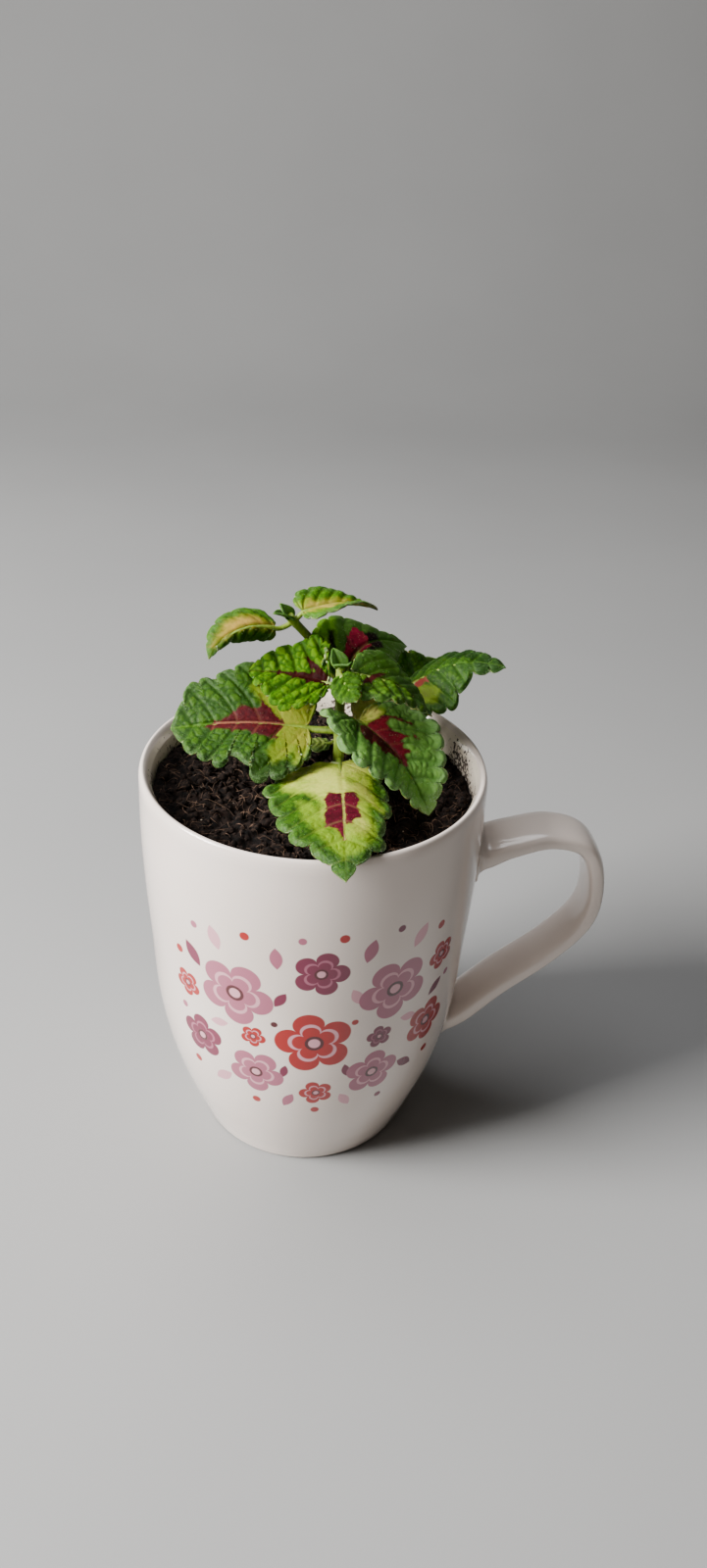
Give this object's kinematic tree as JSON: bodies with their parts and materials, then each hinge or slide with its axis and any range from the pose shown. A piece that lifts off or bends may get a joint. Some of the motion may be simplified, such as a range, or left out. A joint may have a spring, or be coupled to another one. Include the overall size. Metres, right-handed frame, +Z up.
{
  "type": "potted coleus",
  "caption": "Young coleus with scalloped, patterned leaves growing in soil in a glazed white mug with a side handle.",
  "frame": {"origin": "centre of the mug's foot, on the surface it stands on", "axes": "+Z up, +X towards the handle, -Y towards the printed side"},
  "size_m": [0.1214, 0.0945, 0.1473],
  "materials": {
    "white_glaze": "white glazed stoneware with a soft pink and red flower print on one side",
    "potting_soil": "moist dark potting mix with fibres",
    "stem_green": "soft green stem, finely hairy",
    "leaf_green": "satin quilted leaf, green with a maroon patch along the midrib",
    "leaf_yellow": "satin quilted leaf, cream yellow and green with a magenta patch",
    "leaf_dark": "satin quilted leaf, dark green with a red patch"
  },
  "bodies": {
    "root": {"mug": "white_glaze", "soil": "potting_soil", "stem_main": "stem_green", "stem_back": "stem_green", "leaf_front": "leaf_yellow", "leaf_left": "leaf_green", "leaf_right": "leaf_green", "leaf_back": "leaf_dark", "leaf_upper_left": "leaf_green", "leaf_upper_right": "leaf_green", "leaf_upper_back": "leaf_dark", "leaf_small_front": "leaf_green", "leaf_far_right": "leaf_green", "leaf_far_left": "leaf_dark", "leaf_top_left": "leaf_green", "leaf_top_right": "leaf_green", "leaf_at_soil": "leaf_yellow"}
  },
  "joints": []
}
